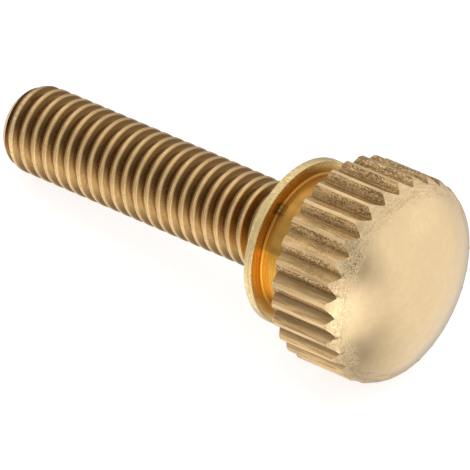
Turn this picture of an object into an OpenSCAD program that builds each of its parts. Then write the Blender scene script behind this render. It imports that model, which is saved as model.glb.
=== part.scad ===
// Knurled thumb screw, turned from brass bar in one piece.
//
// From the end of the thread upwards it has a rounded lead-in, the threaded
// shank, a thin flange, a plain neck, and a domed head with a straight knurl.
// The shank is drawn at the major diameter of the thread.
//
// The screw is built upright on its own axis, with z = 0 on the seat under the
// flange. It is then laid down as it comes to rest: on the two teeth beside
// one groove, at the back of the head, and on the end of the thread.

/* [Thread] */
// Major diameter of the thread
thread_d = 3.0; // [2:0.1:4]
// Length of the thread, from the seat under the flange to its end
thread_l = 12.0; // [8:0.5:30]
// Length of the rounded lead-in at the end of the thread
lead_l = 0.75; // [0.5:0.05:1.5]
// How far the lead-in closes in towards the axis
lead_drop = 0.33; // [0.1:0.01:0.45]

/* [Flange and neck] */
// Diameter of the flange
flange_d = 5.65; // [5.2:0.05:7]
// Thickness of the flange
flange_t = 0.32; // [0.25:0.01:1.5]
// Diameter of the neck between the flange and the head
neck_d = 4.7; // [3.5:0.05:5]
// Length of the neck
neck_l = 1.45; // [0.5:0.05:6]
// Radius of the fillet where the neck meets the flange
neck_fillet = 0.1; // [0.02:0.01:0.2]

/* [Head] */
// Diameter of the head over its teeth
head_d = 7.0; // [6:0.1:9]
// Height of the head, from its back face to the top of the dome
head_h = 3.6; // [2.5:0.1:8]
// Radius of the dome
dome_r = 5.6; // [4.6:0.1:12]
// Radius of the round between the teeth and the dome
edge_r = 0.4; // [0.1:0.05:0.8]
// Size of the edge break on the flange and on the back of the head
edge_break = 0.04; // [0.01:0.01:0.1]

/* [Knurl] */
// Number of teeth
teeth = 30; // [18:1:40]
// Depth of the grooves between the teeth
groove_depth = 0.18; // [0.1:0.01:0.3]
// Radius of the round at the bottom of each groove
groove_root_r = 0.05; // [0.02:0.01:0.08]
// Width of the flat land on top of each tooth
land_w = 0.14; // [0.05:0.01:0.25]

/* [Hidden] */
$fn = 96;
brass = "#d8b878";

thread_r = thread_d / 2;
flange_r = flange_d / 2;
neck_r = neck_d / 2;
head_r = head_d / 2;

// Lead-in: an arc that leaves the shank at lead_z and ends on the end face
end_r = thread_r - lead_drop;
lead_arc_r = (lead_l ^ 2 + lead_drop ^ 2) / (2 * lead_drop);
lead_z = lead_l - thread_l;

// Head: the dome's centre is on the axis, and the edge round is tangent to
// the outside of the teeth and, at the radius touch_x, to the dome
head_z = flange_t + neck_l;
dome_z = head_z + head_h - dome_r;
round_x = head_r - edge_r;
round_z = dome_z + sqrt((dome_r - edge_r) ^ 2 - round_x ^ 2);
touch_x = dome_r * round_x / (dome_r - edge_r);

// Groove section: each flank runs from a land's edge to the root round, and
// is tangent to it. corner_* are measured from the centre of the root round.
pitch_a = 360 / teeth;
groove_a = pitch_a / 2 - asin(land_w / head_d);
root_x = head_r - groove_depth + groove_root_r;
corner_x = head_r * cos(groove_a) - root_x;
corner_y = head_r * sin(groove_a);
flank_a = atan2(corner_y, corner_x) - asin(groove_root_r / norm([corner_x, corner_y]));

// Rest: the lean that brings a point of the profile down to the floor on
// which the lead-in lies. The screw rests at the larger of two such leans.
function lean_of(z, r) =
    let (along = z - lead_z, out = r - (thread_r - lead_arc_r))
    acos(lead_arc_r / norm([along, out])) - atan2(along, out);
tooth_foot = [head_z + edge_break, head_r * cos(groove_a)];
flange_foot = [flange_t - edge_break, flange_r];
tooth_lean = lean_of(tooth_foot.x, tooth_foot.y);
flange_lean = lean_of(flange_foot.x, flange_foot.y);
lean = max(tooth_lean, flange_lean);
foot = tooth_lean > flange_lean ? tooth_foot : flange_foot;
seat_height = foot.y * cos(lean) - foot.x * sin(lean);
dome_reach = dome_z * cos(lean) + dome_r;
end_reach = -thread_l * cos(lean) - end_r * sin(lean);

// Rectangle from the axis out to r, between two heights
module band(r, from, to) {
    translate([0, from]) square([r, to - from]);
}

// Rectangle from the axis with both outer corners broken at 45 degrees
module broken_band(r, from, to, low, high) {
    polygon([
        [0, from], [r - low, from], [r, from + low],
        [r, to - high], [r - high, to], [0, to]
    ]);
}

// Threaded shank at its major diameter, with the rounded lead-in
module shank() {
    color(brass) rotate_extrude() {
        band(thread_r, lead_z, flange_t / 2);
        band(end_r, -thread_l, 0);
        intersection() {
            translate([thread_r - lead_arc_r, lead_z]) circle(r = lead_arc_r);
            band(thread_r, -thread_l, 0);
        }
    }
}

// Flange that seats on the work
module flange() {
    color(brass) rotate_extrude()
        broken_band(flange_r, 0, flange_t, edge_break, edge_break);
}

// Plain neck with its fillet on the flange
module neck() {
    color(brass) rotate_extrude() {
        band(neck_r, flange_t / 2, head_z + head_h / 2);
        difference() {
            band(neck_r + neck_fillet, flange_t / 2, flange_t + neck_fillet);
            translate([neck_r + neck_fillet, flange_t + neck_fillet])
                circle(r = neck_fillet);
        }
    }
}

// Domed head before its knurl is cut
module head_blank() {
    rotate_extrude() {
        broken_band(head_r, head_z, round_z, edge_break, 0);
        // edge round, from the teeth to the dome
        translate([round_x, round_z]) circle(r = edge_r);
        // dome, out to the radius where the edge round takes over
        intersection() {
            translate([0, dome_z]) circle(r = dome_r);
            band(touch_x, head_z, head_z + head_h);
        }
    }
}

// Section of one groove, opening outwards along +X from its root
module groove_section() {
    touch = groove_root_r * [-sin(flank_a), cos(flank_a)];
    lip = [corner_x, corner_y] + groove_depth * [cos(flank_a), sin(flank_a)];
    translate([root_x, 0]) {
        circle(r = groove_root_r);
        polygon([touch, lip, [lip.x, -lip.y], [touch.x, -touch.y]]);
    }
}

// Head with a straight knurl whose grooves run out through the edge round
module head() {
    color(brass) difference() {
        head_blank();
        for (i = [0 : teeth - 1])
            rotate(i * pitch_a) translate([0, 0, head_z - neck_l / 2])
                linear_extrude(head_h + neck_l) groove_section();
    }
}

// The whole screw, laid down with its head towards +X and a groove downwards
module thumb_screw() {
    color(brass)
    translate([-(dome_reach + end_reach) / 2, 0, seat_height])
    rotate([0, 90 - lean, 0])
    union() {
        shank();
        flange();
        neck();
        head();
    }
}

thumb_screw();
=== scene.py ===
"""Finished looks of a knurled brass thumb screw, lying on a pale studio floor.

The screw is one turned piece. Its thread, flange, neck and knurled head are
modelled upright on the screw's own axis, in millimetres, with z = 0 on the
seat under the flange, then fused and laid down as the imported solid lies.
"""

import logging
import math
import random
from dataclasses import dataclass, field
from enum import Enum

import bmesh
import bpy
from mathutils import Matrix, Vector, noise

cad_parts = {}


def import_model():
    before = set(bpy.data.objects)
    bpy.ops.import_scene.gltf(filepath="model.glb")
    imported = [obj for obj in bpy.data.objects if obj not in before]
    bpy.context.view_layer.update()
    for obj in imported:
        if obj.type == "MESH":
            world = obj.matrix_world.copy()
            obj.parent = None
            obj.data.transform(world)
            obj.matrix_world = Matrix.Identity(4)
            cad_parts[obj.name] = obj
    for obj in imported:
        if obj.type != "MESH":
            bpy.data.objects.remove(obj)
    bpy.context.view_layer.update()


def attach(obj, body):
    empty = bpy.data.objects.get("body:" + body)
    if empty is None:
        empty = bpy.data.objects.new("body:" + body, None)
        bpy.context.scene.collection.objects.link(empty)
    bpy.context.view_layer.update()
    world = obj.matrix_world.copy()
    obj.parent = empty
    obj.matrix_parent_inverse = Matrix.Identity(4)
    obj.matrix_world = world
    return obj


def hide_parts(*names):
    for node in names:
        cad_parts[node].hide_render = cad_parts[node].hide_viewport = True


LOG = logging.getLogger("thumb_screw")
MM = 0.001
NODE = "thumb_screw"
# points nearer than these, in millimetres, are one: at the seam of a full turn, between
# two turns of the thread, and where solids were combined
SEAM_GAP = 1e-5
TURN_GAP = 1e-4
JOIN_GAP = 2e-4
# heights nearer than this, in millimetres, are the same
LEVEL = 1e-4

# the Mix node's own places for its two colours and their mixture
COLOUR_A, COLOUR_B, COLOUR_RESULT = 6, 7, 2
# the brown that marks, pits and clouds go toward, and the band in which a mark darkens
DULL = (0.20, 0.12, 0.045, 1)
TONE_BAND = (0.45, 0.62)
# marks that thin out inside a radius fade over this width in millimetres, to this share
FADE_BAND = 0.4
FAINT_SHARE = 0.1
# how far below the roots' radius, in millimetres, the painted valley shade is lifted most and where the
# lift ends
SHADE_LIFT_BAND = (0.2, 0.05)

Colour = tuple[float, float, float]
Geometry = list[bmesh.types.BMVert | bmesh.types.BMEdge | bmesh.types.BMFace]
Socket = bpy.types.NodeSocket
Sockets = bpy.types.bpy_prop_collection
Value = Socket | float | tuple[float, ...]


class Zone(Enum):
    """The differently worked surfaces of the screw, as material slot numbers."""

    THREAD = 0
    COLLAR = 1
    DOME = 2
    LAND = 3
    GROOVE = 4


@dataclass(frozen=True)
class Lie:
    """How the upright screw lies in the row frame."""

    lean: float
    seat_x: float
    seat_z: float

    def matrix(self) -> Matrix:
        """Turns upright millimetres into row-frame metres.

        Returns:
            The 4x4 matrix from the upright screw to the row frame.
        """
        tip_over = Matrix.Rotation(math.pi / 2 - self.lean, 4, "Y")
        return Matrix.Scale(MM, 4) @ Matrix.Translation((self.seat_x, 0, self.seat_z)) @ tip_over

    def upright(self) -> tuple[tuple[float, ...], tuple[float, ...]]:
        """The turn and shift that stand a scaled row-frame point up again.

        Returns:
            The turn about each axis in radians, and the shift in millimetres.
        """
        back = math.pi / 2 - self.lean
        shift = Matrix.Rotation(-back, 3, "Y") @ Vector((-self.seat_x, 0, -self.seat_z))
        return (0.0, -back, 0.0), tuple(shift)

    def point(self, upright: Vector) -> Vector:
        """Turns an upright point in millimetres into a row-frame point in metres."""
        return self.matrix() @ upright


def arc(centre: tuple[float, float], radius: float, start: float, end: float, steps: int) -> list[Vector]:
    """Points along a circular arc of a profile.

    Args:
        centre: Distance from the axis and height of the arc's centre.
        radius: Radius of the arc.
        start: First angle in degrees, from the outward direction.
        end: Last angle in degrees.
        steps: Number of chords.

    Returns:
        Points in the XZ half plane, from start to end.
    """
    turns = [math.radians(start + (end - start) * i / steps) for i in range(steps + 1)]
    return [Vector((centre[0] + radius * math.cos(a), 0, centre[1] + radius * math.sin(a))) for a in turns]


def chain(mesh: bmesh.types.BMesh, points: list[Vector]) -> Geometry:
    """Adds an open line of edges.

    Args:
        mesh: The mesh that gets the line.
        points: The line's points in order.

    Returns:
        The new vertices and edges.
    """
    verts = [mesh.verts.new(p) for p in points]
    return verts + [mesh.edges.new(pair) for pair in zip(verts, verts[1:])]


def verts_in(geometry: Geometry) -> list[bmesh.types.BMVert]:
    """The vertices among mixed geometry."""
    return [part for part in geometry if isinstance(part, bmesh.types.BMVert)]


def revolve(points: list[Vector], segments: int) -> bmesh.types.BMesh:
    """Turns a profile that starts and ends on the axis into a closed solid.

    Args:
        points: The profile in the XZ half plane.
        segments: Number of facets round the axis.

    Returns:
        The closed mesh, with its faces outward.
    """
    mesh = bmesh.new()
    geometry = chain(mesh, points)
    bmesh.ops.spin(
        mesh, geom=geometry, cent=(0, 0, 0), axis=(0, 0, 1), dvec=(0, 0, 0),
        angle=2 * math.pi, steps=segments, use_merge=True, use_duplicate=False,
    )
    bmesh.ops.remove_doubles(mesh, verts=mesh.verts[:], dist=SEAM_GAP)
    bmesh.ops.recalc_face_normals(mesh, faces=mesh.faces[:])
    return mesh


def zone_materials() -> list[bpy.types.Material]:
    """The zones' materials in slot order, made when they are first asked for."""
    return [bpy.data.materials.get(zone.name) or bpy.data.materials.new(zone.name) for zone in Zone]


def as_object(
    mesh: bmesh.types.BMesh, name: str, materials: list[bpy.types.Material],
) -> bpy.types.Object:
    """Puts a mesh into a scene object and frees it.

    Args:
        mesh: The finished mesh.
        name: Name of the new object.
        materials: Materials of its slots.

    Returns:
        The linked object.
    """
    data = bpy.data.meshes.new(name)
    mesh.to_mesh(data)
    mesh.free()
    made = bpy.data.objects.new(name, data)
    for material in materials:
        data.materials.append(material)
    bpy.context.scene.collection.objects.link(made)
    return made


class Combine(Enum):
    """How two solids are combined."""

    CUT = "DIFFERENCE"
    FUSE = "UNION"
    KEEP_COMMON = "INTERSECT"


def combine(base: bpy.types.Object, tool: bpy.types.Object, how: Combine) -> None:
    """Combines two solids into the first and deletes the second.

    Args:
        base: The solid that stays.
        tool: The solid that is used up.
        how: Which part of the two remains.
    """
    step = base.modifiers.new(how.name, "BOOLEAN")
    step.operation = how.value
    step.solver = "MANIFOLD"
    step.object = tool
    evaluated = base.evaluated_get(bpy.context.evaluated_depsgraph_get())
    result = bpy.data.meshes.new_from_object(evaluated)
    base.modifiers.clear()
    base.data = result
    bpy.data.objects.remove(tool)


@dataclass
class ThreadedShank:
    """The threaded shank with its rounded lead-in."""

    diameter: float = 3.0
    length: float = 12.0
    pitch: float = 0.5
    lead_length: float = 0.75
    lead_drop: float = 0.33
    crest_height: float = 0.256
    root_share: float = 1 / 6
    flat_share: float = 0.24
    crest_break: float = 0.012
    flank_angle: float = 30.0
    trim_clear: float = 0.02
    steps: int = 96
    root_steps: int = 3
    lead_steps: int = 14
    trim_segments: int = 192

    @property
    def radius(self) -> float:
        """Radius over the crests."""
        return self.diameter / 2

    @property
    def lead_radius(self) -> float:
        """Radius of the lead-in's arc."""
        return (self.lead_length**2 + self.lead_drop**2) / (2 * self.lead_drop)

    @property
    def lead_z(self) -> float:
        """Height at which the lead-in leaves the shank."""
        return self.lead_length - self.length

    def groove_profile(self, crest_z: float) -> list[Vector]:
        """One pitch of the 60 degree thread form, from root to root.

        Args:
            crest_z: Height of the middle of the crest.

        Returns:
            The profile's points, going up.
        """
        flank = math.radians(self.flank_angle)
        slope = math.tan(flank)
        sharp_height = self.pitch * math.sqrt(3) / 2
        root_r = sharp_height * self.root_share
        half_flat = self.pitch * self.flat_share / 2
        # the root's round touches each flank, which starts at the crest's corner
        reach = self.pitch / 2 - half_flat
        root_x = self.radius - (reach - root_r / math.cos(flank)) / slope
        touch = 90 + self.flank_angle
        low = arc((root_x, crest_z - self.pitch / 2), root_r, 180, touch, self.root_steps)
        high = arc((root_x, crest_z + self.pitch / 2), root_r, -touch, -180, self.root_steps)
        corner = [
            Vector((self.radius - self.crest_break, 0, crest_z - half_flat - self.crest_break * slope)),
            Vector((self.radius, 0, crest_z - half_flat + self.crest_break * slope)),
            Vector((self.radius, 0, crest_z + half_flat - self.crest_break * slope)),
            Vector((self.radius - self.crest_break, 0, crest_z + half_flat + self.crest_break * slope)),
        ]
        return low + corner + high

    def thread(self, top: float) -> bmesh.types.BMesh:
        """The thread as one helical ribbon with both ends closed.

        Args:
            top: Height that the thread has to pass.

        Returns:
            The closed mesh.
        """
        below = math.ceil((self.crest_height + self.length) / self.pitch) + 1
        turns = below + math.ceil((top - self.crest_height) / self.pitch) + 1
        mesh = bmesh.new()
        geometry = chain(mesh, self.groove_profile(self.crest_height - below * self.pitch))
        bmesh.ops.spin(
            mesh, geom=geometry, cent=(0, 0, 0), axis=(0, 0, 1), dvec=(0, 0, self.pitch / self.steps),
            angle=2 * math.pi, steps=self.steps, use_merge=False, use_duplicate=False,
        )
        first_turn = mesh.verts[:] + mesh.edges[:] + mesh.faces[:]
        for turn in range(1, turns):
            copied = verts_in(bmesh.ops.duplicate(mesh, geom=first_turn)["geom"])
            bmesh.ops.translate(mesh, verts=copied, vec=(0, 0, turn * self.pitch))
        bmesh.ops.remove_doubles(mesh, verts=mesh.verts[:], dist=TURN_GAP)
        for rim in self.rims(mesh):
            tips = verts_in(bmesh.ops.extrude_edge_only(mesh, edges=rim)["geom"])
            middle = sum(v.co.z for v in tips) / len(tips)
            bmesh.ops.pointmerge(mesh, verts=tips, merge_co=(0, 0, middle))
        bmesh.ops.recalc_face_normals(mesh, faces=mesh.faces[:])
        return mesh

    @staticmethod
    def rims(mesh: bmesh.types.BMesh) -> list[list[bmesh.types.BMEdge]]:
        """The two open ends of the helical ribbon.

        Args:
            mesh: The open ribbon.

        Returns:
            The edges of the lower and of the upper end.
        """
        open_edges = [e for e in mesh.edges if e.is_boundary]
        heights = [v.co.z for e in open_edges for v in e.verts]
        middle = (min(heights) + max(heights)) / 2
        low = [e for e in open_edges if e.verts[0].co.z < middle]
        high = [e for e in open_edges if e.verts[0].co.z >= middle]
        return [low, high]

    def envelope(self, top: float) -> bmesh.types.BMesh:
        """The outline that the thread is trimmed to: round end, shank, flat top.

        Args:
            top: Height of the flat top.

        Returns:
            The closed mesh.
        """
        start = math.degrees(math.asin(self.lead_length / self.lead_radius))
        centre = (self.radius - self.lead_radius, self.lead_z)
        lead = arc(centre, self.lead_radius, -start, 0, self.lead_steps)
        wide = self.radius + self.trim_clear
        side = [Vector((wide, 0, self.lead_z + self.trim_clear)), Vector((wide, 0, top))]
        outline = [Vector((0, 0, -self.length)), *lead, *side, Vector((0, 0, top))]
        return revolve(outline, self.trim_segments)

    def build(self, top: float) -> bpy.types.Object:
        """Cuts the thread to length and rounds its end.

        Args:
            top: Height at which the shank ends inside the flange.

        Returns:
            The shank as a closed solid.
        """
        shank = as_object(self.thread(top), "shank", zone_materials())
        combine(shank, as_object(self.envelope(top), "envelope", zone_materials()), Combine.KEEP_COMMON)
        return shank


@dataclass
class Collar:
    """The thin flange and the plain neck above it."""

    flange_diameter: float = 5.65
    flange_thickness: float = 0.32
    neck_diameter: float = 4.7
    neck_length: float = 1.45
    fillet: float = 0.1
    edge_break: float = 0.04
    break_steps: int = 4
    fillet_steps: int = 6

    @property
    def top(self) -> float:
        """Height of the head's back face."""
        return self.flange_thickness + self.neck_length

    def profile(self) -> list[Vector]:
        """The outline from the axis on the seat up to the neck's top.

        Returns:
            The profile's points, going up.
        """
        flange_r, neck_r, cut = self.flange_diameter / 2, self.neck_diameter / 2, self.edge_break
        middle = (neck_r + self.fillet, self.flange_thickness + self.fillet)
        return [
            Vector((0, 0, 0)),
            *arc((flange_r - cut, cut), cut, -90, 0, self.break_steps),
            *arc((flange_r - cut, self.flange_thickness - cut), cut, 0, 90, self.break_steps),
            *arc(middle, self.fillet, 270, 180, self.fillet_steps),
            Vector((neck_r, 0, self.top)),
        ]


@dataclass
class KnurledHead:
    """The domed head and the grooves of its straight knurl."""

    diameter: float = 7.0
    height: float = 3.6
    dome_radius: float = 5.6
    edge_radius: float = 0.4
    edge_crown: float = 1.1
    edge_break: float = 0.04
    teeth: int = 30
    groove_depth: float = 0.18
    root_radius: float = 0.035
    land_width: float = 0.12
    lip_radius: float = 0.007
    uneven_depth: float = 0.008
    uneven_turn: float = 0.35
    burr_height: float = 0.018
    burr_reach: float = 1.15
    burr_grain: float = 4.0
    burr_mean: float = 0.5
    burr_least: float = 0.1
    lip_share: float = 0.9
    cutter_clear: float = 0.3
    break_steps: int = 4
    crown_steps: int = 6
    dome_steps: int = 24
    root_steps: int = 6
    lip_steps: int = 4
    seed: int = 7

    @property
    def radius(self) -> float:
        """Radius over the teeth."""
        return self.diameter / 2

    def dome_z(self, back: float) -> float:
        """Height of the dome's centre, when the head's back face is at the height back."""
        return back + self.height - self.dome_radius

    def profile(self, back: float) -> list[Vector]:
        """The outline from the edge of the back face to the top of the dome.

        The teeth and the dome meet in a slightly crowned chamfer, which ends where a
        round of the edge radius would touch them.

        Args:
            back: Height of the head's back face.

        Returns:
            The profile's points, going up.
        """
        round_x = self.radius - self.edge_radius
        centre_z = self.dome_z(back)
        round_z = centre_z + math.sqrt((self.dome_radius - self.edge_radius) ** 2 - round_x**2)
        tilt = math.degrees(math.atan2(round_z - centre_z, round_x))
        cut = self.edge_break
        # the crowned chamfer has its middle on the line halfway between the two directions
        halfway = math.radians(tilt / 2)
        bend = math.asin(self.edge_radius * math.sin(halfway) / self.edge_crown)
        shift = self.edge_radius * math.cos(halfway) - self.edge_crown * math.cos(bend)
        crown = (round_x + shift * math.cos(halfway), round_z + shift * math.sin(halfway))
        low, high = (tilt / 2 + side * math.degrees(bend) for side in (-1, 1))
        return [
            *arc((self.radius - cut, back + cut), cut, -90, 0, self.break_steps),
            *arc(crown, self.edge_crown, low, high, self.crown_steps),
            *arc((0, centre_z), self.dome_radius, tilt, 90, self.dome_steps)[1:],
        ]

    def groove_section(self) -> list[Vector]:
        """Section of one groove, opening along +X, with a round root and rounded lips.

        Returns:
            The closed outline in the XY plane.
        """
        half = math.pi / self.teeth - math.asin(self.land_width / self.diameter)
        root_x = self.radius - self.groove_depth + self.root_radius
        corner = Vector((self.radius * math.cos(half) - root_x, self.radius * math.sin(half)))
        flank = math.atan2(corner.y, corner.x) - math.asin(self.root_radius / corner.length)
        along = Vector((math.cos(flank), math.sin(flank)))
        inward = Vector((-math.sin(flank), math.cos(flank)))
        # the lip's centre is one lip radius inside both the flank and the land
        base = Vector((root_x, 0)) + corner + inward * self.lip_radius
        offset = base.dot(along)
        reach = (self.radius - self.lip_radius) ** 2 - base.length_squared
        centre = base - along * (offset - math.sqrt(offset**2 + reach))
        sweep = self.lip_share * centre.normalized().angle(-inward)
        turns = [Matrix.Rotation(sweep * i / self.lip_steps, 2) for i in range(self.lip_steps + 1)]
        lip = [centre + (turn @ -inward) * self.lip_radius for turn in turns]
        mouth = lip[-1] * ((self.radius + self.cutter_clear) / lip[-1].length)
        bend = math.degrees(math.pi / 2 + flank)
        root = [Vector((p.x, p.z)) for p in arc((root_x, 0), self.root_radius, 180, bend, self.root_steps)]
        upper = root + lip + [mouth]
        lower = [Vector((p.x, -p.y)) for p in reversed(upper[1:])]
        return [Vector((p.x, p.y, 0)) for p in upper + lower]

    def grooves(self, low: float, high: float) -> bmesh.types.BMesh:
        """All the groove cutters as separate prisms.

        Args:
            low: Height of their lower ends.
            high: Height of their upper ends.

        Returns:
            The mesh of all the prisms.
        """
        mesh = bmesh.new()
        outline = [mesh.verts.new(p + Vector((0, 0, low))) for p in self.groove_section()]
        base = mesh.faces.new(outline)
        prism = bmesh.ops.extrude_face_region(mesh, geom=[base], use_keep_orig=True)["geom"]
        bmesh.ops.translate(mesh, verts=verts_in(prism), vec=(0, 0, high - low))
        first = mesh.verts[:] + mesh.edges[:] + mesh.faces[:]
        chance = random.Random(self.seed)
        for tooth in range(1, self.teeth):
            verts = verts_in(bmesh.ops.duplicate(mesh, geom=first)["geom"])
            sink = chance.uniform(-self.uneven_depth, self.uneven_depth)
            turn = 360 * tooth / self.teeth + chance.uniform(-self.uneven_turn, self.uneven_turn)
            bmesh.ops.translate(mesh, verts=verts, vec=(sink, 0, 0))
            around = Matrix.Rotation(math.radians(turn), 3, "Z")
            bmesh.ops.rotate(mesh, verts=verts, cent=(0, 0, 0), matrix=around)
        bmesh.ops.recalc_face_normals(mesh, faces=mesh.faces[:])
        for face in mesh.faces:
            face.material_index = Zone.GROOVE.value
        return mesh

    def raise_burrs(self, mesh: bmesh.types.BMesh, back: float) -> None:
        """Lifts the rims of the grooves' run-outs a little, where the metal was pushed up.

        Args:
            mesh: The upright screw, with its zones set.
            back: Height of the head's back face.
        """
        above = back + self.height - self.burr_reach
        lifts = {}
        for vert in mesh.verts:
            if vert.co.z < above:
                continue
            kept = [f for f in vert.link_faces if f.material_index != Zone.GROOVE.value]
            if kept and len(kept) < len(vert.link_faces):
                outward = sum((f.normal for f in kept), Vector()).normalized()
                share = self.burr_mean + noise.noise(vert.co * self.burr_grain)
                lifts[vert] = outward * self.burr_height * max(self.burr_least, share)
        for vert, lift in lifts.items():
            vert.co += lift


class Wiring:
    """Adds nodes to one tree and joins them up."""

    def __init__(self, tree: bpy.types.NodeTree) -> None:
        """Keeps the tree."""
        self.tree = tree

    def feed(self, node: bpy.types.Node, inputs: dict[str | int, Value]) -> None:
        """Gives a node's inputs what they need.

        Args:
            node: The node.
            inputs: What each input gets: another node's output, or a value.
        """
        for socket, value in inputs.items():
            if isinstance(value, Socket):
                self.tree.links.new(value, node.inputs[socket])
            else:
                node.inputs[socket].default_value = value

    def add(
        self, kind: str, inputs: dict[str | int, Value] | None = None, **settings: object,
    ) -> bpy.types.Node:
        """Adds one node.

        Args:
            kind: The node's type.
            inputs: What each input gets: another node's output, or a value.
            settings: The node's own properties.

        Returns:
            The new node.
        """
        node = self.tree.nodes.new(kind)
        for name, setting in settings.items():
            setattr(node, name, setting)
        self.feed(node, inputs or {})
        return node

    def group(self, tree: bpy.types.NodeTree, **inputs: Value) -> Sockets:
        """Places a shared group and returns its outputs."""
        return self.add("ShaderNodeGroup", inputs, node_tree=tree).outputs

    def math(self, operation: str, *values: Value) -> Socket:
        """Adds a Math node and returns its result."""
        return self.add("ShaderNodeMath", dict(enumerate(values)), operation=operation).outputs[0]

    def vector(self, operation: str, *values: Value) -> Sockets:
        """Adds a Vector Math node and returns its outputs."""
        return self.add("ShaderNodeVectorMath", dict(enumerate(values)), operation=operation).outputs

    def join(self, x: Value, y: Value, z: Value) -> Socket:
        """Joins three values into a vector."""
        return self.add("ShaderNodeCombineXYZ", {"X": x, "Y": y, "Z": z}).outputs[0]

    def ramp(self, value: Value, low: float, high: float, start: Value = 0.0, end: Value = 1.0) -> Socket:
        """Turns a value between two limits into a soft step.

        Args:
            value: What is measured.
            low: Where the step starts.
            high: Where the step ends.
            start: The result up to low.
            end: The result from high on.

        Returns:
            The step's result.
        """
        inputs = {"Value": value, "From Min": low, "From Max": high, "To Min": start, "To Max": end}
        return self.add("ShaderNodeMapRange", inputs, interpolation_type="SMOOTHSTEP").outputs["Result"]

    def pattern(self, place: Value, dimensions: str = "3D", **inputs: Value) -> Socket:
        """Adds a noise pattern.

        Args:
            place: Where the noise is read.
            dimensions: 3D, or 4D where the input W moves it too.
            inputs: Its other inputs by name.

        Returns:
            The noise, which varies about one half.
        """
        given = {"Vector": place, **inputs}
        return self.add("ShaderNodeTexNoise", given, noise_dimensions=dimensions).outputs[0]

    def tint(self, colour: Value, other: Value, factor: Value) -> Socket:
        """Mixes two colours.

        Args:
            colour: The colour at factor 0.
            other: The colour at factor 1.
            factor: How much of the other comes in.

        Returns:
            The mixed colour.
        """
        inputs = {"Factor": factor, COLOUR_A: colour, COLOUR_B: other}
        return self.add("ShaderNodeMix", inputs, data_type="RGBA").outputs[COLOUR_RESULT]


class Effect(Wiring):
    """A shader group for an effect that several finishes share."""

    def __init__(self, name: str, inputs: dict[str, str], outputs: dict[str, str]) -> None:
        """Opens the group.

        Args:
            name: The group's name.
            inputs: The name and kind of each input.
            outputs: The name and kind of each output.
        """
        super().__init__(bpy.data.node_groups.new(name, "ShaderNodeTree"))
        for way, sockets in (("INPUT", inputs), ("OUTPUT", outputs)):
            for label, kind in sockets.items():
                self.tree.interface.new_socket(label, in_out=way, socket_type=f"NodeSocket{kind}")
        self.given = self.add("NodeGroupInput").outputs
        self.result = self.add("NodeGroupOutput")

    def close(self, **values: Value) -> bpy.types.NodeTree:
        """Puts out the effect's values and returns the group."""
        self.feed(self.result, values)
        return self.tree


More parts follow.
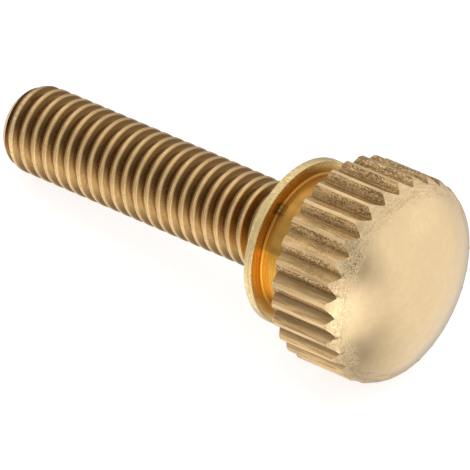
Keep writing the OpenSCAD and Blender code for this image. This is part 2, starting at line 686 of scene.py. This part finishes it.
class Effects:
    """The shader groups from which every finish of the brass is made."""

    # how far patterns are drawn out along the axis: lines per millimetre, and a pit's share
    LENGTHWISE = 0.9
    PIT_STRETCH = (1.0, 1.0, 0.65)
    # the bands of noise in which pits start, crowd together and clouds come up
    PIT_BAND = (0.47, 0.58)
    CROWD_BAND = (0.35, 0.62)
    CLOUD_BAND = (0.3, 0.7)
    # the least share of pits outside the crowded patches
    SPARSE = 0.45
    # where the torn flank ends, as a share of a tooth's pitch
    TORN_END = (0.42, 0.5)

    def __init__(self, lie: Lie, teeth: int) -> None:
        """Builds the groups.

        Args:
            lie: How the screw lies, for patterns that follow its axis.
            teeth: Number of teeth of the knurl.
        """
        self.axes = self.screw_axes(lie)
        self.turned = self.turning_marks()
        self.drawn = self.drawn_marks()
        self.grit = self.grit_pits()
        self.cloud = self.clouding()
        self.side = self.groove_side(teeth)

    @staticmethod
    def screw_axes(lie: Lie) -> bpy.types.NodeTree:
        """Measures a point from the screw's own axis and seat, in millimetres.

        Args:
            lie: How the screw lies.

        Returns:
            The group.
        """
        outputs = {"Upright": "Vector", "Radius": "Float", "Height": "Float", "Angle": "Float"}
        group = Effect("screw_axes", {"Place": "Vector"}, outputs)
        turn, shift = lie.upright()
        moves = {"Location": shift, "Rotation": turn, "Scale": (1 / MM, 1 / MM, 1 / MM)}
        placed = group.add("ShaderNodeMapping", {"Vector": group.given["Place"], **moves}).outputs[0]
        x, y, z = group.add("ShaderNodeSeparateXYZ", {0: placed}).outputs
        radius = group.vector("LENGTH", group.join(x, y, 0.0))["Value"]
        angle = group.math("ARCTAN2", y, x)
        return group.close(Upright=placed, Radius=radius, Height=z, Angle=angle)

    @staticmethod
    def turning_marks() -> bpy.types.NodeTree:
        """Fine lines round the axis, as a lathe tool leaves them.

        Returns:
            The group.
        """
        names = ("Radius", "Height", "Angle", "Lines", "Wander")
        group = Effect("turning_marks", dict.fromkeys(names, "Float"), {"Marks": "Float"})
        radius, height, angle, lines, wander = (group.given[name] for name in names)
        line = group.join(
            group.math("MULTIPLY", radius, lines),
            group.math("MULTIPLY", height, lines),
            group.math("MULTIPLY", group.math("COSINE", angle), wander),
        )
        aside = group.math("MULTIPLY", group.math("SINE", angle), wander)
        return group.close(Marks=group.pattern(line, "4D", W=aside, Scale=1.0, Detail=1.5, Roughness=0.6))

    @classmethod
    def drawn_marks(cls) -> bpy.types.NodeTree:
        """Fine lines along the axis, as a knurling wheel or a broach leaves them.

        Returns:
            The group.
        """
        group = Effect("drawn_marks", {"Upright": "Vector", "Lines": "Float"}, {"Marks": "Float"})
        upright, lines = group.given["Upright"], group.given["Lines"]
        stretch = group.join(lines, lines, cls.LENGTHWISE)
        line = group.vector("MULTIPLY", upright, stretch)["Vector"]
        return group.close(Marks=group.pattern(line, Scale=1.0, Detail=1.5))

    @classmethod
    def grit_pits(cls) -> bpy.types.NodeTree:
        """Small pits of uneven size where the metal tore.

        Returns:
            The group.
        """
        inputs = {"Upright": "Vector", "Grain": "Float", "Share": "Float"}
        group = Effect("grit_pits", inputs, {"Pits": "Float"})
        upright, grain, share = group.given["Upright"], group.given["Grain"], group.given["Share"]
        # pits are drawn out along the axis, the way the tool moved
        drawn_out = group.vector("MULTIPLY", upright, cls.PIT_STRETCH)["Vector"]
        fine = group.pattern(drawn_out, Scale=grain, Detail=4.0, Roughness=0.75)
        crowds = group.pattern(upright, Scale=1.7, Detail=2.0)
        spread = group.ramp(crowds, *cls.CROWD_BAND, cls.SPARSE, 1.0)
        pits = group.math("MULTIPLY", group.ramp(fine, *cls.PIT_BAND), spread)
        return group.close(Pits=group.math("MULTIPLY", pits, share))

    @classmethod
    def clouding(cls) -> bpy.types.NodeTree:
        """Faint soft patches of handling and tarnishing.

        Returns:
            The group.
        """
        group = Effect("clouding", {"Upright": "Vector", "Size": "Float"}, {"Cloud": "Float"})
        upright, size = group.given["Upright"], group.given["Size"]
        soft = group.pattern(upright, Scale=size, Detail=4.0, Distortion=0.6)
        return group.close(Cloud=group.ramp(soft, *cls.CLOUD_BAND))

    @classmethod
    def groove_side(cls, teeth: int) -> bpy.types.NodeTree:
        """Marks the torn flank of each groove, the one that the knurling wheel left last.

        Args:
            teeth: Number of teeth of the knurl.

        Returns:
            The group.
        """
        group = Effect("groove_side", {"Angle": "Float"}, {"Torn": "Float"})
        turns = group.math("MULTIPLY_ADD", group.given["Angle"], teeth / (2 * math.pi), 0.5)
        return group.close(Torn=group.ramp(group.math("FRACT", turns), *cls.TORN_END, 1.0, 0.0))


@dataclass(frozen=True)
class LitSide:
    """The side of a finish that faces the light. Angles are degrees round the axis.

    Away from it the valleys take a darker painted shade, which stops short at the start and comes back
    slowly past the end.
    """

    side_shade: Colour
    start: float
    end: float
    edge: float = 1.5
    fade: float = 30.0

    def outside(self, wiring: Wiring, angle: Socket) -> Socket:
        """How far a point lies outside the lit side.

        Args:
            wiring: The finish's wiring.
            angle: The point's angle round the axis in radians.

        Returns:
            A share from 0 on the lit side to 1 where the darker painted shade is whole.
        """
        turned = wiring.math("MULTIPLY", angle, 180 / math.pi)
        before = wiring.ramp(turned, self.start - self.edge, self.start + self.edge, 1.0, 0.0)
        return wiring.math("MAXIMUM", before, wiring.ramp(turned, self.end, self.end + self.fade))


@dataclass(frozen=True)
class Scar:
    """A small dark rough spot where the metal was hurt. Lengths are in millimetres."""

    place: tuple[float, float, float]
    inner: float = 0.12
    outer: float = 0.34
    mark_band: tuple[float, float] = (0.3, 0.6)
    faintest: float = 0.35

    def share(self, wiring: Wiring, upright: Socket, drawn: Socket) -> Socket:
        """How much of the scar a point has.

        Args:
            wiring: The finish's wiring.
            upright: The point's upright place.
            drawn: The drawn marks, which break the scar up.

        Returns:
            A share from 0 to 1.
        """
        away = wiring.vector("DISTANCE", upright, self.place)["Value"]
        near = wiring.ramp(away, self.inner, self.outer, 1.0, 0.0)
        return wiring.math("MULTIPLY", near, wiring.ramp(drawn, *self.mark_band, self.faintest, 1.0))


@dataclass(frozen=True)
class Brass:
    """One worked finish of the brass. Lengths are in millimetres.

    The colour goes over into a painted valley shade from the crest's radius in to the root's, where less
    light falls. Each kind of mark has a height or a depth, and a tone, which is how far it darkens.
    """

    zone: Zone
    colour: Colour
    valley_shade: Colour | None = None
    roughness: float = 0.25
    root: float = 0.0
    crest: float = 1.0
    root_shade_lift: float = 0.0
    turned_height: float = 0.0
    turned_lines: float = 8.0
    turned_tone: float = 0.0
    turned_wander: float = 1.6
    turned_from: float = 0.0
    drawn_height: float = 0.0
    drawn_lines: float = 11.0
    drawn_tone: float = 0.0
    grit_depth: float = 0.0
    grit_share: float = 0.0
    grit_tone: float = 0.3
    grit_rough: float = 0.25
    grit_from: float = 0.0
    grain: float = 9.0
    cloud_size: float = 0.8
    cloud_tone: float = 0.08
    cloud_rough: float = 0.06
    torn_side: bool = False
    torn_flank_shade: float = 0.06
    smooth_grit: float = 0.22
    lit_side: LitSide | None = None
    scar: Scar | None = None

    @staticmethod
    def toward_rim(wiring: Wiring, marks: Socket, radius: Socket, full_from: float) -> Socket:
        """Thins marks out inside a radius.

        Args:
            wiring: The finish's wiring.
            marks: The marks.
            radius: A point's distance from the axis.
            full_from: Radius from which the marks are whole, or 0 for all over.

        Returns:
            The marks that are left.
        """
        if not full_from:
            return marks
        share = wiring.ramp(radius, full_from - FADE_BAND, full_from, FAINT_SHARE, 1.0)
        return wiring.math("MULTIPLY", marks, share)

    def with_valley_shade(self, wiring: Wiring, axes: Sockets, torn: Socket | None) -> Value:
        """The colour with the painted shade that darkens it toward the roots of the valleys.

        Args:
            wiring: The finish's wiring.
            axes: The screw's measures of a point.
            torn: Where the torn flanks are, if the finish has any.

        Returns:
            The colour.
        """
        colour = (*self.colour, 1)
        if self.valley_shade is None:
            return colour
        # painted shade: the colour darkens from the crest's radius in to the root's, where less light
        # falls
        depth = wiring.ramp(axes["Radius"], self.root, self.crest, 1.0, 0.0)
        # painted light: the painted valley shade is lifted again at the very bottom of the valleys
        if self.root_shade_lift:
            low, high = (self.root - below for below in SHADE_LIFT_BAND)
            lifted = wiring.ramp(axes["Radius"], low, high, 1.0 - self.root_shade_lift, 1.0)
            depth = wiring.math("MULTIPLY", depth, lifted)
        # the torn flank takes a little more of the painted valley shade
        if torn is not None:
            depth = wiring.math("MULTIPLY", depth, 1 - self.torn_flank_shade)
            depth = wiring.math("MULTIPLY_ADD", torn, self.torn_flank_shade, depth)
        valley_shade = (*self.valley_shade, 1)
        # painted shade: away from the lit side the valleys are painted darker still
        if self.lit_side:
            side_shade = (*self.lit_side.side_shade, 1)
            valley_shade = wiring.tint(valley_shade, side_shade, self.lit_side.outside(wiring, axes["Angle"]))
        return wiring.tint(colour, valley_shade, depth)

    def material(self, effects: Effects) -> bpy.types.Material:
        """Fills in the zone's material.

        Args:
            effects: The shared shader groups.

        Returns:
            The finished material.
        """
        made = bpy.data.materials[self.zone.name]
        made.use_nodes = True
        wiring = Wiring(made.node_tree)
        axes = wiring.group(effects.axes, Place=wiring.add("ShaderNodeTexCoord").outputs["Object"])
        upright, radius, angle = axes["Upright"], axes["Radius"], axes["Angle"]
        cloud = wiring.group(effects.cloud, Upright=upright, Size=self.cloud_size)["Cloud"]
        turned = wiring.group(
            effects.turned, Radius=radius, Height=axes["Height"], Angle=angle,
            Lines=self.turned_lines, Wander=self.turned_wander,
        )["Marks"]
        turned = self.toward_rim(wiring, turned, radius, self.turned_from)
        drawn = wiring.group(effects.drawn, Upright=upright, Lines=self.drawn_lines)["Marks"]
        pits = wiring.group(effects.grit, Upright=upright, Grain=self.grain, Share=self.grit_share)["Pits"]
        pits = self.toward_rim(wiring, pits, radius, self.grit_from)
        torn = None
        if self.torn_side:
            torn = wiring.group(effects.side, Angle=angle)["Torn"]
            gritty = wiring.math("MULTIPLY_ADD", torn, 1 - self.smooth_grit, self.smooth_grit)
            pits = wiring.math("MULTIPLY", pits, gritty)
        dull = wiring.math("MULTIPLY", pits, self.grit_tone)
        dull = wiring.math("MULTIPLY_ADD", cloud, self.cloud_tone, dull)
        for marks, tone in ((turned, self.turned_tone), (drawn, self.drawn_tone)):
            dull = wiring.math("MULTIPLY_ADD", wiring.ramp(marks, *TONE_BAND), tone, dull)
        if self.scar:
            spot = self.scar.share(wiring, upright, drawn)
            dull = wiring.math("MAXIMUM", dull, spot)
            pits = wiring.math("MAXIMUM", pits, spot)
        rough = wiring.math("MULTIPLY_ADD", pits, self.grit_rough, self.roughness)
        height = wiring.math("MULTIPLY", turned, self.turned_height)
        height = wiring.math("MULTIPLY_ADD", drawn, self.drawn_height, height)
        height = wiring.math("MULTIPLY_ADD", pits, -self.grit_depth, height)
        bump = wiring.add("ShaderNodeBump", {"Height": height, "Distance": MM})
        wiring.feed(
            made.node_tree.nodes["Principled BSDF"],
            {
                "Base Color": wiring.tint(self.with_valley_shade(wiring, axes, torn), DULL, dull),
                "Metallic": 1.0,
                "Roughness": wiring.math("MULTIPLY_ADD", cloud, self.cloud_rough, rough),
                "Normal": bump.outputs["Normal"],
            },
        )
        return made


# the second colour of a finish is painted shade toward its valleys' roots, darker still away from its lit
# side
FINISHES = (
    Brass(
        Zone.THREAD, (0.80, 0.53, 0.25), (0.46, 0.28, 0.11), 0.2, root=1.445, crest=1.505, root_shade_lift=0.22,
        lit_side=LitSide((0.20, 0.105, 0.034), -100, 20, edge=22), turned_height=0.003, turned_lines=9,
        turned_tone=0.10, grit_depth=0.004, grit_share=0.3, cloud_tone=0.06,
    ),
    Brass(
        Zone.COLLAR, (0.94, 0.72, 0.35), (0.86, 0.43, 0.06), 0.13, root=2.36, crest=2.8,
        lit_side=LitSide((0.54, 0.27, 0.055), -111.5, -75), turned_height=0.004, turned_lines=14,
        turned_tone=0.2, grit_depth=0.006, grit_share=0.6, grit_tone=0.4, grit_from=2.84, grain=14,
        cloud_tone=0.02, scar=Scar((-1.96, -1.35, 0.36)),
    ),
    Brass(
        Zone.DOME, (0.98, 0.73, 0.42), roughness=0.13, turned_height=0.005, turned_lines=14,
        turned_tone=0.18, turned_wander=7, turned_from=3.1, grit_depth=0.004, grit_share=0.6,
        grit_tone=0.25, grit_from=3.1, grain=14, cloud_size=4, cloud_tone=0.05,
    ),
    Brass(
        Zone.LAND, (0.86, 0.61, 0.32), roughness=0.18, drawn_height=0.003, drawn_tone=0.25,
        grit_depth=0.003, grit_share=0.3, grit_tone=0.15, cloud_tone=0.02,
    ),
    Brass(
        Zone.GROOVE, (0.84, 0.55, 0.26), (0.26, 0.16, 0.065), 0.2, root=3.32, crest=3.48,
        lit_side=LitSide((0.42, 0.26, 0.105), -116, -62, edge=8), drawn_height=0.010, drawn_tone=0.4,
        grit_depth=0.014, grit_share=1.0, grit_tone=0.6, grain=16, cloud_tone=0.03, torn_side=True,
    ),
)


@dataclass
class ThumbScrew:
    """The whole screw.

    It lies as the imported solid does, whose lands are solid_land wide. A face that is no
    deeper than a surface's skin belongs to it, and edges that turn by more than sharp_from
    degrees are sharp.
    """

    shank: ThreadedShank = field(default_factory=ThreadedShank)
    collar: Collar = field(default_factory=Collar)
    head: KnurledHead = field(default_factory=KnurledHead)
    solid_land: float = 0.14
    segments: int = 480
    cutter_overrun: float = 1.0
    end_skin: float = 0.001
    lead_skin: float = 0.005
    shank_skin: float = 0.01
    land_skin: float = 0.03
    sharp_from: float = 28.0

    def lie(self) -> Lie:
        """The rest: on the two teeth beside one groove and on the lead-in.

        Returns:
            The lean and the seat's place.
        """
        half = math.pi / self.head.teeth - math.asin(self.solid_land / self.head.diameter)
        foot_z = self.collar.top + self.head.edge_break
        foot_x = self.head.radius * math.cos(half)
        along = foot_z - self.shank.lead_z
        out = foot_x - (self.shank.radius - self.shank.lead_radius)
        lean = math.acos(self.shank.lead_radius / math.hypot(along, out)) - math.atan2(along, out)
        seat_z = foot_x * math.cos(lean) - foot_z * math.sin(lean)
        dome_reach = self.head.dome_z(self.collar.top) * math.cos(lean) + self.head.dome_radius
        end_r = self.shank.radius - self.shank.lead_drop
        end_reach = -self.shank.length * math.cos(lean) - end_r * math.sin(lean)
        return Lie(lean, -(dome_reach + end_reach) / 2, seat_z)

    def zone_of(self, face: bmesh.types.BMFace) -> Zone:
        """Names the finish of a face that no groove cutter made.

        Args:
            face: A face of the upright screw.

        Returns:
            Its zone.
        """
        middle = face.calc_center_median()
        out = math.hypot(middle.x, middle.y)
        if middle.z < self.shank.lead_z:
            lead_r = self.shank.lead_radius
            sunk = lead_r - math.hypot(out - self.shank.radius + lead_r, middle.z - self.shank.lead_z)
            if sunk < self.lead_skin or middle.z < self.end_skin - self.shank.length:
                return Zone.LAND
        if middle.z < -LEVEL and out < self.shank.radius + self.shank_skin:
            return Zone.THREAD
        if middle.z < self.collar.top + LEVEL:
            return Zone.COLLAR
        return Zone.LAND if out > self.head.radius - self.land_skin else Zone.DOME

    def work_over(self, mesh: bmesh.types.BMesh) -> None:
        """Cleans the joined mesh, names its zones, raises burrs and marks sharp edges.

        Args:
            mesh: The upright screw, as the solids were combined.
        """
        bmesh.ops.remove_doubles(mesh, verts=mesh.verts[:], dist=JOIN_GAP)
        bmesh.ops.dissolve_degenerate(mesh, edges=mesh.edges[:], dist=JOIN_GAP)
        bmesh.ops.recalc_face_normals(mesh, faces=mesh.faces[:])
        for face in mesh.faces:
            face.smooth = True
            if face.material_index != Zone.GROOVE.value:
                face.material_index = self.zone_of(face).value
        self.head.raise_burrs(mesh, self.collar.top)
        for edge in mesh.edges:
            edge.smooth = not edge.is_manifold or edge.calc_face_angle(0) < math.radians(self.sharp_from)

    def build(self) -> bpy.types.Object:
        """Turns, threads, knurls and lays down the screw.

        Returns:
            The finished piece, at the origin with its place in its mesh.
        """
        profile = self.collar.profile() + self.head.profile(self.collar.top)
        body = as_object(revolve(profile, self.segments), "brass_screw", zone_materials())
        low = self.collar.top - self.collar.neck_length / 2
        high = self.collar.top + self.head.height + self.cutter_overrun
        cutters = as_object(self.head.grooves(low, high), "grooves", zone_materials())
        combine(body, cutters, Combine.CUT)
        combine(body, self.shank.build(self.collar.flange_thickness / 2), Combine.FUSE)
        mesh = bmesh.new()
        mesh.from_mesh(body.data)
        self.work_over(mesh)
        mesh.transform(self.lie().matrix())
        mesh.to_mesh(body.data)
        mesh.free()
        # flat flanks stay flat, and the narrow rounds beside them take up the turn
        shading = body.modifiers.new("shading", "WEIGHTED_NORMAL")
        shading.keep_sharp = True
        return body


@dataclass(frozen=True)
class Glow:
    """A soft patch of the studio's surround, darker than the rest where its strength is negative.

    Angles are in degrees. The patch is whole within inner and ends at outer.
    """

    azimuth: float
    elevation: float
    inner: float
    outer: float
    strength: float

    def direction(self) -> Vector:
        """The direction of its middle, with azimuth 0 along +X."""
        a, e = math.radians(self.azimuth), math.radians(self.elevation)
        return Vector((math.cos(a) * math.cos(e), math.sin(a) * math.cos(e), math.sin(e)))


@dataclass
class Studio:
    """Camera, floor and light.

    Angles are in degrees and lengths in metres, but lens and sensor are in millimetres.
    """

    azimuth: float = 38.517
    elevation: float = 37.536
    roll: float = 4.839
    distance: float = 0.273893
    aim_left: float = 2.37315 * MM
    aim_up: float = 0.2691 * MM
    lens: float = 652.2
    sensor: float = 36.0
    clip: tuple[float, float] = (0.01, 10.0)
    floor_half: float = 2.0
    floor_grey: float = 0.5
    floor_rough: float = 0.9
    floor_seen: float = 0.78
    surround: float = 0.296
    darkest: float = 0.02
    white: float = 1.0
    glows: tuple[Glow, ...] = (
        Glow(-140, 12, 25, 46, -0.39),
        Glow(-1, 9, 1, 18, -0.23),
        Glow(-32, -68, 8, 51, -0.32),
        Glow(5, -5, 1, 29, 0.20),
        Glow(62, -25, 28, 53, 0.26),
        Glow(153, -21, 55, 71, 0.14),
        Glow(-36, -20, 1, 45, 0.54),
        Glow(114, 54, 23, 69, 0.57),
        Glow(-106, 17, 26, 28, -0.16),
        Glow(-138, 35, 28, 33, 0.23),
        Glow(-118, -21, 10, 105, 0.82),
        Glow(-16, 54, 1, 21, 0.42),
        Glow(25, 29, 0, 37, 0.26),
        Glow(22, -22, 41, 68, 0.32),
        Glow(-139, -87, 8, 29, 0.20),
        Glow(-8, -15, 1, 15, -0.13),
        Glow(155, 49, 3, 12, 0.29),
        Glow(-43, 10, 8, 19, 0.31),
        Glow(-131, 21, 1, 4, -0.23),
        Glow(-8, -40, 0, 9, -0.20),
        Glow(16, 41, 6, 16, 0.12),
        Glow(-12, 14, 5, 15, -0.22),
        Glow(126, 16, 10, 30, -0.20),
        Glow(-1, -52, 3, 12, -0.09),
        Glow(-124, -27, 8, 25, -0.10),
        Glow(-23, -13, 6, 16, 0.24),
        Glow(-48, -30, 8, 24, 0.28),
        Glow(59, 14, 6, 20, 0.06),
    )

    def camera(self, target: Vector) -> None:
        """Places the camera that looks down on the screw.

        Args:
            target: The point on the screw beside which the camera aims.
        """
        a, e = math.radians(self.azimuth), math.radians(self.elevation)
        back = Vector((math.sin(a) * math.cos(e), -math.cos(a) * math.cos(e), math.sin(e)))
        roll = Matrix.Rotation(math.radians(self.roll), 3, "Z")
        turn = (-back).to_track_quat("-Z", "Y").to_matrix() @ roll
        right, up = turn.col[0], turn.col[1]
        place = turn.to_4x4()
        place.translation = target - right * self.aim_left + up * self.aim_up + back * self.distance
        data = bpy.data.cameras.new("camera")
        data.lens, data.sensor_width = self.lens, self.sensor
        data.clip_start, data.clip_end = self.clip
        made = bpy.data.objects.new("camera", data)
        made.matrix_world = place
        bpy.context.scene.collection.objects.link(made)
        bpy.context.scene.camera = made

    def floor(self) -> None:
        """Lays the pale floor, which the camera sees as white apart from shadows."""
        pale = bpy.data.materials.new("pale_floor")
        pale.use_nodes = True
        wiring = Wiring(pale.node_tree)
        to_camera = wiring.add("ShaderNodeLightPath").outputs["Is Camera Ray"]
        wiring.feed(
            pale.node_tree.nodes["Principled BSDF"],
            {
                "Base Color": (self.floor_grey, self.floor_grey, self.floor_grey, 1),
                "Roughness": self.floor_rough,
                "Emission Color": (1, 1, 1, 1),
                "Emission Strength": wiring.math("MULTIPLY", to_camera, self.floor_seen),
            },
        )
        mesh = bmesh.new()
        bmesh.ops.create_grid(mesh, x_segments=1, y_segments=1, size=self.floor_half)
        floor = as_object(mesh, "floor", [pale])
        floor.visible_glossy = False

    def light(self) -> None:
        """Sets the surround with its soft patches, and shows it as white to the camera."""
        world = bpy.data.worlds.new("studio")
        bpy.context.scene.world = world
        world.use_nodes = True
        wiring = Wiring(world.node_tree)
        direction = wiring.add("ShaderNodeTexCoord").outputs["Generated"]
        total = self.surround
        for glow in self.glows:
            towards = wiring.vector("DOT_PRODUCT", direction, glow.direction())["Value"]
            low, high = (math.cos(math.radians(limit)) for limit in (glow.outer, glow.inner))
            total = wiring.math("ADD", wiring.ramp(towards, low, high, 0.0, glow.strength), total)
        total = wiring.math("MAXIMUM", total, self.darkest)
        to_camera = wiring.add("ShaderNodeLightPath").outputs["Is Camera Ray"]
        shown = wiring.add("ShaderNodeMix", {"Factor": to_camera, "A": total, "B": self.white})
        wiring.feed(
            world.node_tree.nodes["Background"],
            {"Color": (1, 1, 1, 1), "Strength": shown.outputs["Result"]},
        )
        bpy.context.scene.view_settings.view_transform = "Standard"


def main() -> None:
    """Builds the screw and the studio round it."""
    logging.basicConfig(level=logging.INFO, format="%(name)s: %(message)s")
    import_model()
    screw = ThumbScrew()
    piece = screw.build()
    lie = screw.lie()
    effects = Effects(lie, screw.head.teeth)
    for finish in FINISHES:
        finish.material(effects)
    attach(piece, "root")
    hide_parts(NODE)
    LOG.info("%s: %d faces", piece.name, len(piece.data.polygons))
    studio = Studio()
    studio.camera(lie.point(Vector((0, 0, screw.collar.flange_thickness))))
    studio.floor()
    studio.light()


if __name__ == "__main__":
    main()
